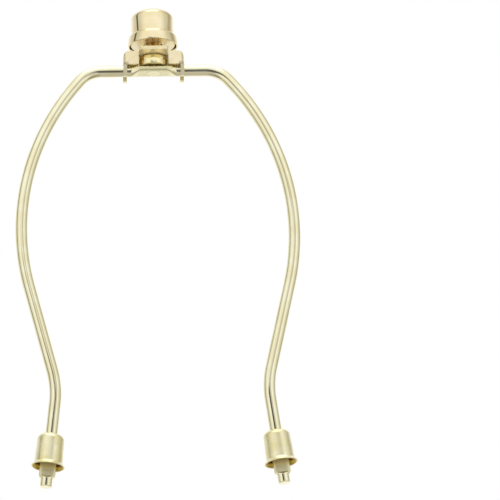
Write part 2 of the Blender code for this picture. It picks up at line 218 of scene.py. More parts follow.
# What all the finishes share: each noise has a scale, a detail and, for the streaks, a roughness
CLOUD_NOISE = (160, 2)
CLOUD_EDGES = (0.35, 0.65)
STREAK_NOISE = (1.0, 4, 0.6)
STREAK_EDGES = (0.5, 0.85)
STREAK_SHARE = 0.35
STREAK_HEIGHT = 0.00002
SPECK_NOISE = (2600, 1)
SPECK_EDGES = (0.74, 0.8)
SPECK_SHARE = 0.4
SPECK_TONE = 0.45
SPECK_ROUGHNESS = 0.2
SMEAR_NOISE = (420, 3)
SMEAR_EDGES = (0.3, 0.75)
INSIDE_METALLIC = 0.8

# The pressed places' satin, and the heights between which painted light turns the paddles warmer and
# lighter, up to their sleeves, in place of the sleeves' shade
PRESSED_ROUGHNESS = 0.3
SATIN_START = 0.0008
SATIN_END = 0.002
PADDLE_METALLIC = 0.65
PADDLE_COVERED = (0.0058, 0.0072)

# The bracket's under side, by how far its normal points up, which takes a painted warm glow of bounced
# light, and the edges of the painted shade on the front of the legs' lower ends
BRACKET_DULL = 0.25
UNDER_EDGES = (-0.9, -0.6)
UNDER_METALLIC = 0.4
LEG_SHADE_INSETS = (0.0022, 0.0018)
LEG_SHADE_HEIGHTS = (0.002, 0.0026)
LEG_SHADE_DEPTHS = (-0.0032, -0.0026)

# The sleeves' brushing, and how far spinning leans their face up
SLEEVE_ANISOTROPY = 0.8
SLEEVE_LEAN = 0.046

# The studio's floor and lamp
WHITE = (1.0, 1.0, 1.0)
FLOOR_HEIGHT = -2.0
FLOOR_HALF = 30.0
FLOOR_TONE = (0.8, 0.8, 0.8)
FLOOR_ROUGHNESS = 0.9
SOFTBOX_PLACE = (0, -0.6, 2.2)
SOFTBOX_SIZE = 1.6
SOFTBOX_POWER = 8

# The tent's darker places, in degrees. ROUND counts from the front to the right, and for SIDES both ways.
# UP counts from the horizon: SIDES_UP is where sides and seam fade out, GROUND_UP where the ground does.
OPENING_ROUND = (-28, -21, -10, -3)
OPENING_UP = (-12, -2, 17.5, 19.5)
SIDES_ROUND = (40, 86, 100, 165)
LEFT_SEAM_ROUND = (-102, -98, -90, -86)
RIGHT_SIDE_ROUND = (90, 98, 118, 132)
SIDES_UP = (40, 75)
GROUND_UP = (-50, -34)

# The share of red, green and blue that each of them takes away
OPENING_DEPTH = (0.5, 0.5, 0.5)
SIDES_DEPTH = (0.34, 0.34, 0.38)
LEFT_SEAM_DEPTH = (0.8, 0.82, 0.84)
RIGHT_SIDE_DEPTH = (0.3, 0.33, 0.38)
GROUND_DEPTH = (0.46, 0.48, 0.52)

# The dark card: its nearly black core, and a fainter column that deepens to the right
CARD_AT = -0.4
CARD_HALF = 0.45
CORE_ACROSS = (-0.19, -0.105, 0.035, 0.11)
CORE_UP = (-0.26, -0.14, 0.168, 0.182)
CORE_OPACITY = 0.88
COLUMN_ACROSS = (-0.32, -0.2, 0.19, 0.3)
COLUMN_UP = (-0.26, -0.1, 0.265, 0.315)
COLUMN_FADE = (-0.05, 0.1)
COLUMN_OPACITY = (0.13, 0.42)

WEB_UNDERSIDE = WEB_TOP - SHEET


# The camera

def photo_camera():
    """A long lens that looks up at the harp, turned so that the harp stands at the left of the frame."""
    ahead = Vector(
        (
            math.sin(VIEW_YAW) * math.cos(VIEW_BELOW),
            math.cos(VIEW_YAW) * math.cos(VIEW_BELOW),
            math.sin(VIEW_BELOW),
        )
    )
    level = Vector((math.cos(VIEW_YAW), -math.sin(VIEW_YAW), 0))
    upright = level.cross(ahead)
    right = math.cos(VIEW_ROLL) * level - math.sin(VIEW_ROLL) * upright
    up = math.cos(VIEW_ROLL) * upright + math.sin(VIEW_ROLL) * level
    middle = FRAME_PIXELS / 2
    off_right = (middle - AIM_PIXEL[0]) / PIXELS_PER_METRE
    off_up = (AIM_PIXEL[1] - middle) / PIXELS_PER_METRE
    data = bpy.data.cameras.new("photo view")
    data.sensor_width = SENSOR
    data.lens = SENSOR * PIXELS_PER_METRE * VIEW_DISTANCE / FRAME_PIXELS
    data.clip_start = CLIP_NEAR
    data.clip_end = CLIP_FAR
    camera = bpy.data.objects.new("photo view", data)
    bpy.context.scene.collection.objects.link(camera)
    camera.location = VIEW_AIM - ahead * VIEW_DISTANCE
    target = VIEW_AIM + right * off_right + up * off_up
    back = (camera.location - target).normalized()
    side = up.cross(back).normalized()
    camera.rotation_euler = Matrix((side, back.cross(side), back)).transposed().to_euler()
    bpy.context.scene.camera = camera


photo_camera()


# Tools for meshes

def linked(name, mesh):
    made = bpy.data.objects.new(name, mesh)
    bpy.context.scene.collection.objects.link(made)
    return made


def smooth(mesh):
    """Shades the mesh smooth, with its folds sharp."""
    mesh.shade_smooth()
    mesh.set_sharp_from_angle(angle=SMOOTH_BELOW)


def object_of(name, form, material=None):
    """An object that takes over the bmesh."""
    mesh = bpy.data.meshes.new(name)
    bmesh.ops.recalc_face_normals(form, faces=form.faces)
    form.to_mesh(mesh)
    form.free()
    smooth(mesh)
    if material:
        mesh.materials.append(material)
    return linked(name, mesh)


def settle(piece):
    """Turns the piece with its modifiers into a plain mesh."""
    bpy.context.view_layer.update()
    evaluated = piece.evaluated_get(bpy.context.evaluated_depsgraph_get())
    mesh = bpy.data.meshes.new_from_object(evaluated)
    piece.modifiers.clear()
    piece.data = mesh


def boolean(target, other, operation):
    step = target.modifiers.new(other.name, "BOOLEAN")
    step.object = other
    step.operation = operation
    step.solver = "EXACT"


def drop(*pieces):
    for piece in pieces:
        bpy.data.objects.remove(piece)


def moved(piece, place):
    piece.data.transform(place)
    return piece


def arc(centre, radius, start, end, steps=FILLET_STEPS):
    """Points along a circle, the angles in degrees from the first axis to the second."""
    points = []
    for step in range(steps + 1):
        angle = math.radians(start + (end - start) * step / steps)
        points.append((centre[0] + radius * math.cos(angle), centre[1] + radius * math.sin(angle)))
    return points


def skin(form, rings, distances):
    """Quads between neighbouring rings, with a UV map in metres: round the ring, and along the piece."""
    uv = form.loops.layers.uv.new(SURFACE_MAP)
    count = len(rings[0])
    girths = []
    for ring in rings:
        girth = [0.0]
        for i in range(count):
            girth.append(girth[-1] + (ring[(i + 1) % count].co - ring[i].co).length)
        girths.append(girth)
    widest = max(range(len(rings)), key=lambda i: girths[i][-1])
    for r in range(len(rings) - 1):
        near, far = rings[r], rings[r + 1]
        for i in range(count):
            j = (i + 1) % count
            corners = [(near[i], i, r), (near[j], i + 1, r), (far[j], i + 1, r + 1), (far[i], i, r + 1)]
            seen = []
            kept = []
            for vert, around, along_step in corners:
                if vert not in seen:
                    seen.append(vert)
                    kept.append((around, along_step))
            if len(seen) < 3:
                continue
            face = form.faces.new(seen)
            for loop, (around, along_step) in zip(face.loops, kept):
                loop[uv].uv = (girths[widest][around], distances[along_step])


def turned(name, outline, material, place=Matrix.Identity(4)):
    """A turned piece from its outline, a list of (radius, height) that runs down the outer side.

    An outline that doesn't start on the axis is closed to a ring.
    """
    form = bmesh.new()
    points = list(outline)
    if points[0][0] > 0:
        points.append(points[0])
    rings = []
    distances = [0.0]
    for (r0, z0), (r1, z1) in zip(points, points[1:]):
        distances.append(distances[-1] + math.hypot(r1 - r0, z1 - z0))
    for index, (radius, height) in enumerate(points):
        if index == len(points) - 1 and outline[0][0] > 0:
            rings.append(rings[0])
        elif radius < ON_AXIS:
            pole = form.verts.new((0, 0, height))
            rings.append([pole] * TURNED_STEPS)
        else:
            ring = []
            for step in range(TURNED_STEPS):
                angle = 2 * math.pi * step / TURNED_STEPS
                ring.append(form.verts.new((radius * math.cos(angle), radius * math.sin(angle), height)))
            rings.append(ring)
    skin(form, rings, distances)
    return moved(object_of(name, form, material), place)


def strip_form(outline, place, low, high):
    """An open folded surface: the outline drawn out between two distances."""
    form = bmesh.new()
    near = [form.verts.new(place(point, low)) for point in outline]
    far = [form.verts.new(place(point, high)) for point in outline]
    for i in range(len(outline) - 1):
        form.faces.new((near[i], near[i + 1], far[i + 1], far[i]))
    return form


def prism_form(outline, place, low, high):
    """A solid: the closed outline drawn out between two distances."""
    form = bmesh.new()
    face = form.faces.new([form.verts.new(place(point, low)) for point in outline])
    grown = bmesh.ops.extrude_face_region(form, geom=[face])
    for item in grown["geom"]:
        if isinstance(item, bmesh.types.BMVert):
            item.co += place(outline[0], high) - place(outline[0], low)
    return form


def box_form(low, high):
    form = bmesh.new()
    bmesh.ops.create_cube(form, size=1)
    for vert in form.verts:
        vert.co = Vector([high[i] if vert.co[i] > 0 else low[i] for i in range(3)])
    return form


def cone_form(low_radius, high_radius, low, high):
    form = bmesh.new()
    sizes = {"radius1": low_radius, "radius2": high_radius, "depth": high - low}
    made = bmesh.ops.create_cone(form, cap_ends=True, segments=HOLE_STEPS, **sizes)
    bmesh.ops.translate(form, verts=made["verts"], vec=(0, 0, (low + high) / 2))
    return form


def front(point, distance):
    """Places a point of an outline that is seen from the front, at a distance to the back."""
    return Vector((point[0], distance, point[1]))


def plan(point, distance):
    """Places a point of an outline that is seen from above, at a height."""
    return Vector((point[0], point[1], distance))


def across(point, distance):
    """Places a point of an outline that is seen from the side, at a distance to the right."""
    return Vector((distance, point[0], point[1]))


# Tools for node trees, and the finishes

class Nodes:
    """A node tree with short calls for what this script needs."""

    def __init__(self, tree):
        self.tree = tree

    def add(self, kind, **settings):
        node = self.tree.nodes.new(kind)
        for key, value in settings.items():
            setattr(node, key, value)
        return node

    def link(self, source, target):
        self.tree.links.new(source, target)

    def set(self, node, **values):
        for key, value in values.items():
            node.inputs[key.replace("_", " ")].default_value = value
        return node

    def stretched(self, source, scale):
        mapping = self.add("ShaderNodeMapping")
        mapping.inputs["Scale"].default_value = scale
        self.link(source, mapping.inputs["Vector"])
        return mapping.outputs["Vector"]

    def noise(self, vector, scale, detail=3.0, roughness=0.55):
        node = self.add("ShaderNodeTexNoise")
        self.set(node, Scale=scale, Detail=detail, Roughness=roughness)
        self.link(vector, node.inputs["Vector"])
        return node.outputs["Fac"]

    def graded(self, value, low, high, out_low, out_high):
        node = self.add("ShaderNodeMapRange", interpolation_type="SMOOTHSTEP")
        for index, number in ((1, low), (2, high), (3, out_low), (4, out_high)):
            node.inputs[index].default_value = number
        self.link(value, node.inputs[0])
        return node.outputs[0]

    def rising(self, value, low, high):
        return self.graded(value, low, high, 0.0, 1.0)

    def falling(self, value, low, high):
        return self.graded(value, low, high, 1.0, 0.0)

    def zone(self, value, rise_from, rise_to, fall_from, fall_to):
        """1 where the value lies between rise_to and fall_from, with soft edges."""
        return self.product(self.rising(value, rise_from, rise_to), self.falling(value, fall_from, fall_to))

    def axes(self, vector):
        """The vector's x, y and z."""
        node = self.add("ShaderNodeSeparateXYZ")
        self.link(vector, node.inputs[0])
        return node.outputs

    def mixed(self, share, first, second, blend="MIX"):
        node = self.add("ShaderNodeMix", data_type="RGBA", blend_type=blend)
        for socket, value in ((node.inputs[6], first), (node.inputs[7], second)):
            if isinstance(value, tuple):
                socket.default_value = (*value, 1)
            else:
                self.link(value, socket)
        if isinstance(share, float):
            node.inputs[0].default_value = share
        else:
            self.link(share, node.inputs[0])
        return node.outputs[2]

    def maths(self, operation, *values):
        node = self.add("ShaderNodeMath", operation=operation)
        for socket, value in zip(node.inputs, values):
            if isinstance(value, (int, float)):
                socket.default_value = value
            else:
                self.link(value, socket)
        return node.outputs[0]

    def product(self, *factors):
        result = factors[0]
        for factor in factors[1:]:
            result = self.maths("MULTIPLY", result, factor)
        return result


class Finish(Nodes):
    """A material, with the calls that only surfaces need."""

    def __init__(self, name):
        self.material = bpy.data.materials.new(name)
        self.material.use_nodes = True
        super().__init__(self.material.node_tree)
        self.shader = self.tree.nodes["Principled BSDF"]

    def feed(self, name, value):
        """Links the value to the shader's socket of this name."""
        self.link(value, self.shader.inputs[name])

    def bumped(self, height, strength, distance):
        node = self.add("ShaderNodeBump")
        self.set(node, Strength=strength, Distance=distance)
        self.link(height, node.inputs["Height"])
        self.feed("Normal", node.outputs["Normal"])
        return node

    def objects(self):
        return self.add("ShaderNodeTexCoord").outputs["Object"]

    def surface(self):
        return self.add("ShaderNodeUVMap", uv_map=SURFACE_MAP).outputs["UV"]

    def show(self, share, first, second):
        """Makes the surface a mix of two shaders."""
        mix = self.add("ShaderNodeMixShader")
        for index, source in enumerate((share, first.outputs[0], second.outputs[0])):
            self.link(source, mix.inputs[index])
        self.link(mix.outputs[0], self.tree.nodes["Material Output"].inputs["Surface"])


def brass(name, pale, deep, roughness, streaks, streak_strength, surface=True, dull=0.0, inside=None):
    """Brass plate or brass: two close tones in soft clouds, fine streaks and small darker specks.

    roughness gives the least and the most. streaks gives the streaks' scale round and along the piece, or
    in object space where surface is False. dull is the share of the light that the finish scatters. inside
    is the tone of the points marked as inside: painted shade on the drawn pieces' inner walls, and the
    plate's own tone on the stud's riveted end.
    """
    made = Finish(name)
    made.set(made.shader, Metallic=1.0 - dull)
    place = made.objects()
    clouds = made.rising(made.noise(place, *CLOUD_NOISE), *CLOUD_EDGES)
    colour = made.mixed(clouds, pale, deep)
    lines = made.noise(made.stretched(made.surface() if surface else place, streaks), *STREAK_NOISE)
    colour = made.mixed(made.graded(lines, *STREAK_EDGES, 0.0, STREAK_SHARE), colour, deep)
    specks = made.graded(made.noise(place, *SPECK_NOISE), *SPECK_EDGES, 0.0, SPECK_SHARE)
    colour = made.mixed(specks, colour, tuple(SPECK_TONE * tone for tone in deep))
    if inside:
        # the inside tone is mixed in where marked: painted shade on drawn inner walls, the plate's own tone
        # on the riveted end
        marked = made.add("ShaderNodeAttribute", attribute_name=INSIDE_MARK).outputs["Fac"]
        colour = made.mixed(marked, colour, inside)
        made.feed("Metallic", made.graded(marked, 0.0, 1.0, 1.0 - dull, INSIDE_METALLIC))
    smear = made.graded(made.noise(place, *SMEAR_NOISE), *SMEAR_EDGES, *roughness)
    made.colour = colour
    made.smear = made.maths("ADD", smear, made.graded(specks, 0.0, 1.0, 0.0, SPECK_ROUGHNESS))
    made.feed("Base Color", made.colour)
    made.feed("Roughness", made.smear)
    made.streaks = made.bumped(lines, streak_strength, STREAK_HEIGHT)
    return made


def wire_finish():
    """Polished plate, satin and a little deeper on the three pressed places, and duller on the feet;
    painted light makes the paddles lighter and warmer inside their sleeves.
    """
    made = brass(
        "polished wire plate",
        PALE_PLATE,
        DEEP_PLATE,
        roughness=(0.06, 0.12),
        streaks=(2600, 60, 1),
        streak_strength=0.2,
    )
    x, _, z = made.axes(made.objects())
    paddle_top = STUB_LENGTH + PADDLE_LENGTH
    feet = made.zone(z, STUB_LENGTH, STUB_LENGTH + SATIN_START, paddle_top - SATIN_END, paddle_top)
    # painted light: where the sleeves shade the paddles, their tone turns lighter and warmer
    covered = made.product(made.rising(z, *PADDLE_COVERED), feet)
    flat_end = TOP_FLAT_HALF_LENGTH + TOP_FLAT_RUNOUT
    flat = made.falling(made.maths("ABSOLUTE", x), TOP_FLAT_HALF_LENGTH, flat_end)
    top = made.product(flat, made.maths("GREATER_THAN", z, HARP_HEIGHT - WIRE_D))
    pressed = made.maths("MAXIMUM", feet, top)
    tone = made.mixed(covered, PRESSED_PLATE, PADDLE_SLEEVE_LIGHT)
    made.feed("Base Color", made.mixed(pressed, made.colour, tone))
    rougher = made.maths("MULTIPLY", pressed, PRESSED_ROUGHNESS)
    made.feed("Roughness", made.maths("ADD", made.smear, rougher))
    made.feed("Metallic", made.graded(feet, 0.0, 1.0, 1.0, PADDLE_METALLIC))
    return made.material


def bracket_finish():
    """Stamped plate, duller underneath with a painted warm glow of bounced light there, and painted shade
    on the front of the legs' lower ends.
    """
    made = brass(
        "stamped plate",
        WARM_PLATE,
        WARM_DEEP,
        roughness=(0.16, 0.28),
        streaks=(900, 900, 60),
        streak_strength=0.2,
        surface=False,
        dull=BRACKET_DULL,
    )
    upwards = made.axes(made.add("ShaderNodeNewGeometry").outputs["Normal"])[2]
    under = made.falling(upwards, *UNDER_EDGES)
    made.feed("Metallic", made.graded(under, 0.0, 1.0, 1.0 - BRACKET_DULL, UNDER_METALLIC))
    x, y, z = made.axes(made.objects())
    # painted shade: this mask picks the front of the legs' lower ends, cut edges included, and darkens them
    legs = made.rising(made.maths("ABSOLUTE", x), *(BRACKET_WIDTH / 2 - inset for inset in LEG_SHADE_INSETS))
    low = made.falling(z, *(HARP_HEIGHT + height for height in LEG_SHADE_HEIGHTS))
    cut = made.product(legs, low, made.falling(y, *LEG_SHADE_DEPTHS))
    # painted light: the downward faces take a warmer tone in place of light bounced up from the gold parts
    # below
    colour = made.mixed(under, made.colour, UNDERSIDE_BOUNCE_GLOW)
    made.feed("Base Color", made.mixed(cut, colour, LEG_FRONT_SHADE))
    return made.material


def sleeve_finish():
    """Satin plate, brushed along the sleeve; spinning left fine steps that lean its face up a little."""
    made = brass(
        "satin sleeve plate",
        SLEEVE_PLATE,
        SLEEVE_DEEP,
        roughness=(0.2, 0.28),
        streaks=(4000, 60, 1),
        streak_strength=0.12,
        # painted shade on the sleeve's inner wall
        inside=HOLLOW_SHADE,
    )
    height = made.axes(made.objects())[2]
    steps = made.bumped(made.maths("MULTIPLY", height, -SLEEVE_LEAN), 1.0, 1.0)
    made.link(steps.outputs["Normal"], made.streaks.inputs["Normal"])
    made.feed("Normal", made.streaks.outputs["Normal"])
    made.set(made.shader, Anisotropic=SLEEVE_ANISOTROPY)
    around = made.add("ShaderNodeTangent", direction_type="UV_MAP", uv_map=SURFACE_MAP)
    made.feed("Tangent", around.outputs["Tangent"])
    return made.material


wire_plate = wire_finish()
bracket_plate = bracket_finish()
finial_plate = brass(
    "polished cap plate",
    WARM_PLATE,
    WARM_DEEP,
    roughness=(0.05, 0.09),
    streaks=(60, 4000, 1),
    streak_strength=0.1,
    # painted shade on the cap's inner wall
    inside=HOLLOW_SHADE,
).material
sleeve_plate = sleeve_finish()
turned_brass = brass(
    "turned brass",
    WARM_PLATE,
    TURNED_BRASS,
    roughness=(0.14, 0.24),
    streaks=(60, 5200, 1),
    streak_strength=0.3,
    dull=0.3,
).material
stud_brass = brass(
    "stud brass",
    TURNED_BRASS,
    TURNED_DEEP,
    roughness=(0.08, 0.14),
    streaks=(60, 5200, 1),
    streak_strength=0.25,
    dull=0.08,
    inside=RIVET_END,
).material
thread_brass = brass(
    "thread brass",
    THREAD_BRASS,
    THREAD_DEEP,
    roughness=(0.14, 0.24),
    streaks=(900, 900, 900),
    streak_strength=0.2,
    surface=False,
).material


# Making the harp wire

def straight(length):
    return {"length": length, "turn": 0}


def bend(radius, turn):
    return {"length": radius * abs(turn), "turn": turn}


def belly_radius_for(neck, shoulder_height, belly_rise):
    """The belly radius at which the tangent from the belly to the neck is as long as the lower straight."""
    sideways = neck.x - BELLY_HALF_WIDTH
    upwards = shoulder_height - neck.y
    rise = math.sin(belly_rise)
    squared = rise * rise
    linear = upwards * rise + NECK_RADIUS - sideways
    rest = sideways**2 + upwards**2 - NECK_RADIUS**2 - LOWER_STRAIGHT**2
    return (linear - math.sqrt(linear * linear - squared * rest)) / squared


def loop_legs():
    """The right half of the wire's centre line, from the top middle to the tip, as straights and bends."""
    belly_rise = math.pi / 2 - SHOULDER_TURN
    shoulder_height = (
        HARP_HEIGHT
        - SHOULDER_RADIUS * (1 - math.cos(SHOULDER_TURN))
        - UPPER_STRAIGHT * math.sin(SHOULDER_TURN)
    )
    inwards = Vector((math.cos(FOOT_SPLAY), math.sin(FOOT_SPLAY)))
    up_the_leg = Vector((-math.sin(FOOT_SPLAY), math.cos(FOOT_SPLAY)))
    neck = Vector((FOOT_HALF_SPREAD, 0)) + LEG_STRAIGHT * up_the_leg + NECK_RADIUS * inwards
    belly_radius = belly_radius_for(neck, shoulder_height, belly_rise)
    belly = Vector((BELLY_HALF_WIDTH - belly_radius, shoulder_height - belly_radius * math.sin(belly_rise)))
    top_straight = (
        BELLY_HALF_WIDTH
        - belly_radius * (1 - math.cos(belly_rise))
        - UPPER_STRAIGHT * math.cos(SHOULDER_TURN)
        - SHOULDER_RADIUS * math.sin(SHOULDER_TURN)
    )
    between = neck - belly
    lean = math.atan2(-between.y, between.x) - math.atan2(LOWER_STRAIGHT, belly_radius + NECK_RADIUS)
    return [
        straight(top_straight),
        bend(SHOULDER_RADIUS, -SHOULDER_TURN),
        straight(UPPER_STRAIGHT),
        bend(belly_radius, -belly_rise),
        bend(belly_radius, -lean),
        straight(LOWER_STRAIGHT),
        bend(NECK_RADIUS, lean + FOOT_SPLAY),
        straight(LEG_STRAIGHT),
    ]


def along(stretches, distance):
    """Where the centre line is, and which way it heads, at this distance from the top middle."""
    place = Vector((0, HARP_HEIGHT))
    heading = 0
    for stretch in stretches:
        run = min(distance, stretch["length"])
        turned_by = stretch["turn"] * run / stretch["length"]
        middle = heading + turned_by / 2
        half_turn = abs(turned_by) / 2
        chord = run * (math.sin(half_turn) / half_turn if half_turn else 1)
        place += chord * Vector((math.cos(middle), math.sin(middle)))
        heading += turned_by
        distance -= run
        if distance <= 0:
            break
    return place, heading


def wire_stations(stretches):
    """Distances at which the wire gets a section: each stretch's ends, its bends and the pressed places."""
    total = sum(stretch["length"] for stretch in stretches)
    found = {0, total}
    found |= {total - TIP_ROUND * (1 - math.sin(math.radians(angle))) for angle in TIP_ANGLES}
    start = 0
    for stretch in stretches:
        steps = max(1, math.ceil(abs(stretch["turn"]) / WIRE_BEND_STEP))
        found |= {start + stretch["length"] * step / steps for step in range(steps)}
        start += stretch["length"]
    for step in range(RUNOUT_STEPS + 1):
        share = step / RUNOUT_STEPS
        found.add(TOP_FLAT_HALF_LENGTH + TOP_FLAT_RUNOUT * share)
        found.add(total - STUB_LENGTH - PADDLE_RUNOUT * share)
        found.add(total - STUB_LENGTH - PADDLE_LENGTH + PADDLE_RUNOUT * share)
    return sorted(found)


def ramp(value, start, length):
    """0 before the start and 1 past start + length, with soft ends."""
    share = min(max((value - start) / length, 0), 1)
    return share * share * (3 - 2 * share)


def wire_section(distance, total):
    """Half sizes of the section in the loop's plane and across it, and how square it is."""
    top = 1 - ramp(distance, TOP_FLAT_HALF_LENGTH, TOP_FLAT_RUNOUT)
    from_tip = total - distance
    foot = ramp(from_tip, STUB_LENGTH, PADDLE_RUNOUT)
    foot *= 1 - ramp(from_tip, STUB_LENGTH + PADDLE_LENGTH - PADDLE_RUNOUT, PADDLE_RUNOUT)
    in_plane = WIRE_D + (TOP_FLAT_THICKNESS - WIRE_D) * top + (PADDLE_WIDTH - WIRE_D) * foot
    through = WIRE_D + (TOP_FLAT_WIDTH - WIRE_D) * top + (PADDLE_THICKNESS - WIRE_D) * foot
    short = max(TIP_ROUND - from_tip, 0)
    tuck = TIP_ROUND - math.sqrt(TIP_ROUND**2 - short**2)
    power = ROUND_POWER + (PRESSED_POWER - ROUND_POWER) * max(top, foot)
    return in_plane / 2 - tuck, through / 2 - tuck, power


def section_ring(form, place, heading, half_in_plane, half_through, power):
    """One ring of the loft: a circle that squares up as the power grows."""
    ring = []
    normal = Vector((-math.sin(heading), 0, math.cos(heading)))
    for side in range(WIRE_SIDES):
        angle = 2 * math.pi * side / WIRE_SIDES
        u = math.cos(angle)
        v = math.sin(angle)
        reach = (abs(u) ** power + abs(v) ** power) ** (-1 / power)
        offset = normal * (u * reach * half_in_plane) + Vector((0, v * reach * half_through, 0))
        ring.append(form.verts.new(Vector((place.x, 0, place.y)) + offset))
    return ring


def make_wire():
    """The loop is a loft from tip to tip: round wire with three pressed places."""
    stretches = loop_legs()
    total = sum(stretch["length"] for stretch in stretches)
    stations = wire_stations(stretches)
    form = bmesh.new()
    rings = []
    distances = []
    for distance in [-s for s in reversed(stations[1:])] + stations:
        place, heading = along(stretches, abs(distance))
        if distance < 0:
            place.x = -place.x
            heading = -heading
        rings.append(section_ring(form, place, heading, *wire_section(abs(distance), total)))
        distances.append(distance)
    skin(form, rings, distances)
    form.faces.new(rings[0])
    form.faces.new(rings[-1])
    wire = object_of("harp_wire_round", form, wire_plate)
    bore = TAIL_D / 2 + RIVET_SEAM
    # The countersink narrows by 45 degrees, and starts below the wire to cut its face cleanly
    low = -TOP_FLAT_THICKNESS / 2 - WIRE_D
    wide = RIVET_HEAD_D / 2 + RIVET_SEAM * math.sqrt(2) + WIRE_D
    drills = [
        object_of("tail_hole", cone_form(bore, bore, -WIRE_D, WIRE_D)),
        object_of("tail_countersink", cone_form(wide, bore, low, low + wide - bore)),
    ]
    place = Matrix.Translation((0, 0, HARP_HEIGHT)) @ Matrix.Rotation(math.pi / HOLE_STEPS, 4, "Z")
    for drill in drills:
        moved(drill, place)
        boolean(wire, drill, "DIFFERENCE")
    facing = wire.modifiers.new("flat faces", "WEIGHTED_NORMAL")
    facing.keep_sharp = True
    settle(wire)
    drop(*drills)
    return wire


# Making the top bracket

def bracket_outline(inset):
    """Outer side of the folded strip, seen from the front, from the left leg's end to the right one's."""
    half = BRACKET_WIDTH / 2 - inset
    bend_centre = (BRACKET_WIDTH / 2 - WEB_BEND, WEB_TOP - WEB_BEND)
    return (
        [(-half, -LEG_BELOW_WIRE)]
        + arc((-bend_centre[0], bend_centre[1]), WEB_BEND - inset, 180, 90)
        + arc(bend_centre, WEB_BEND - inset, 90, 0)
        + [(half, -LEG_BELOW_WIRE)]
    )


def corner_room_outline():
    """What the stamping takes off one corner of the wide strip, seen from above."""
    seat_side = SEAT_WIDTH / 2
    seat_end = SEAT_DEPTH / 2
    web_edge = BRACKET_DEPTH / 2 - SHEET - FLANGE_SLIT
    corner = arc((seat_side - SEAT_CORNER, seat_end - SEAT_CORNER), SEAT_CORNER, 0, 90)
    return (
        [(BRACKET_WIDTH, web_edge), (seat_side + RELIEF_WIDTH, web_edge)]
        + [(seat_side + RELIEF_WIDTH, web_edge - RELIEF_DEPTH), (seat_side, web_edge - RELIEF_DEPTH)]
        + corner
        + [(seat_side - SEAT_CORNER, SEAT_DEPTH), (BRACKET_WIDTH, SEAT_DEPTH)]
    )


def flange_path():
    """Outer side of one turned-in flange, seen from above, from its root in the leg to beside the seat."""
    side = BRACKET_WIDTH / 2 - FLANGE_INSET
    front_face = BRACKET_DEPTH / 2
    fold = arc((side - FLANGE_BEND, front_face - FLANGE_BEND), FLANGE_BEND, 0, 90)
    return [(side, FLANGE_ROOT), *fold, (SEAT_WIDTH / 2 + SEAT_SLIT, front_face)]


def thicken(surface):
    """Gives a folded surface the sheet's thickness, inwards from the side that it draws."""
    step = surface.modifiers.new("sheet", "SOLIDIFY")
    step.thickness = SHEET
    step.offset = -1
    step.use_even_offset = True


def make_bracket():
    """A strip folded to a U and cut back to its seat and legs, with a flange folded in at each corner."""
    wide = strip_form(bracket_outline(0), front, -SEAT_DEPTH / 2, SEAT_DEPTH / 2)
    bracket = object_of("shade_rest_bracket", wide, bracket_plate)
    thicken(bracket)
    room = prism_form(bracket_outline(FLANGE_INSET / 2), front, -SEAT_DEPTH, SEAT_DEPTH)
    envelope = object_of("flange_envelope", room)
    helpers = [envelope]
    leg_edge = BRACKET_DEPTH / 2
    room_top = WEB_TOP + SHEET
    below_web = (FLANGE_LOW + WEB_UNDERSIDE) / 2
    corners = [(hand, side) for side in (-1, 1) for hand in (-1, 1)]
    for side in (-1, 1):
        near, far = sorted((side * leg_edge, side * SEAT_DEPTH))
        low_room = box_form((-BRACKET_WIDTH, near, -2 * LEG_BELOW_WIRE), (BRACKET_WIDTH, far, below_web))
        helpers.append(object_of(f"leg_room_{side}", low_room))
        boolean(bracket, helpers[-1], "DIFFERENCE")
    for hand, side in corners:
        corner = [(hand * x, side * y) for x, y in corner_room_outline()]
        room = prism_form(corner, plan, FLANGE_LOW, room_top)
        helpers.append(object_of(f"corner_room_{hand}_{side}", room))
        boolean(bracket, helpers[-1], "DIFFERENCE")
    for hand, side in corners:
        path = [(hand * x, side * y) for x, y in flange_path()]
        strip = strip_form(path, plan, FLANGE_LOW + FLANGE_SLIT, WEB_TOP - FLANGE_TOP_DROP)
        flange = object_of(f"flange_{hand}_{side}", strip)
        thicken(flange)
        boolean(flange, envelope, "INTERSECT")
        helpers.append(flange)
        boolean(bracket, flange, "UNION")
    radius = THREAD_D / 2 + GAP
    helpers.append(object_of("stud_hole", cone_form(radius, radius, 0, room_top)))
    boolean(bracket, helpers[-1], "DIFFERENCE")
    notch_half = WIRE_D / 2 + GAP
    notch = [(-notch_half, -2 * LEG_BELOW_WIRE)] + arc((0, 0), notch_half, 180, 0, NOTCH_STEPS)
    notch += [(notch_half, -2 * LEG_BELOW_WIRE)]
    helpers.append(object_of("wire_notch", prism_form(notch, across, -BRACKET_WIDTH, BRACKET_WIDTH)))
    boolean(bracket, helpers[-1], "DIFFERENCE")
    settle(bracket)
    drop(*helpers)
    edges = bracket.modifiers.new("rounded edges", "BEVEL")
    edges.width = EDGE_ROUND
    edges.segments = EDGE_STEPS
    edges.limit_method = "ANGLE"
    edges.angle_limit = SMOOTH_BELOW
    edges.miter_outer = "MITER_ARC"
    settle(bracket)
    bracket.data.shade_smooth()
    facing = bracket.modifiers.new("flat faces", "WEIGHTED_NORMAL")
    facing.keep_sharp = False
    settle(bracket)
    return moved(bracket, Matrix.Translation((0, 0, HARP_HEIGHT)))


# Making the threaded stud

